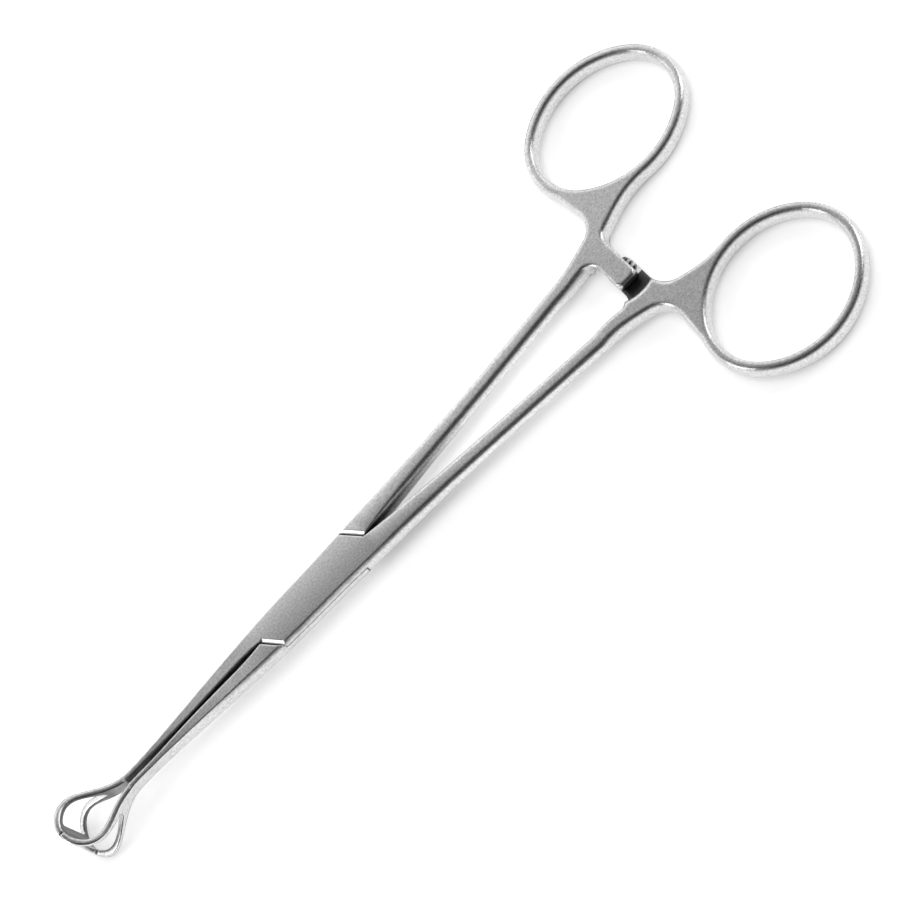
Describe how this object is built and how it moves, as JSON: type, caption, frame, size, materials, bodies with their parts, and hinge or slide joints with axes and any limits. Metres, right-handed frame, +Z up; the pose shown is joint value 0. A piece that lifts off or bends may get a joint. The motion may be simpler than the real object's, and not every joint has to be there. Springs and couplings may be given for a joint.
{
  "type": "babcock tissue forceps",
  "caption": "Closed ring-handled tissue forceps with a box lock, long slender arms and fenestrated triangular jaws that bow out around a hollow and meet at fine grooved tip bars.",
  "frame": {"origin": "on the pin's axis, at the flat underside of the box lock", "axes": "+X from the lock to the finger rings, -X to the jaws; +Y across the handles to the ring of the male half; +Z up through the thickness, along the pin"},
  "size_m": [0.16, 0.0716, 0.01],
  "materials": {
    "satin_steel": "satin",
    "pin_steel": "ground flush and satin"
  },
  "bodies": {
    "female": {"female_half": "satin_steel", "box_lock_pin": "pin_steel"},
    "male": {"male_half": "satin_steel"}
  },
  "joints": [
    {"name": "box_lock_hinge", "type": "hinge", "parent": "female", "child": "male", "pos_m": [0, 0, 0.0017], "axis": [0, 0, 1], "range_deg": [0, 40]}
  ]
}
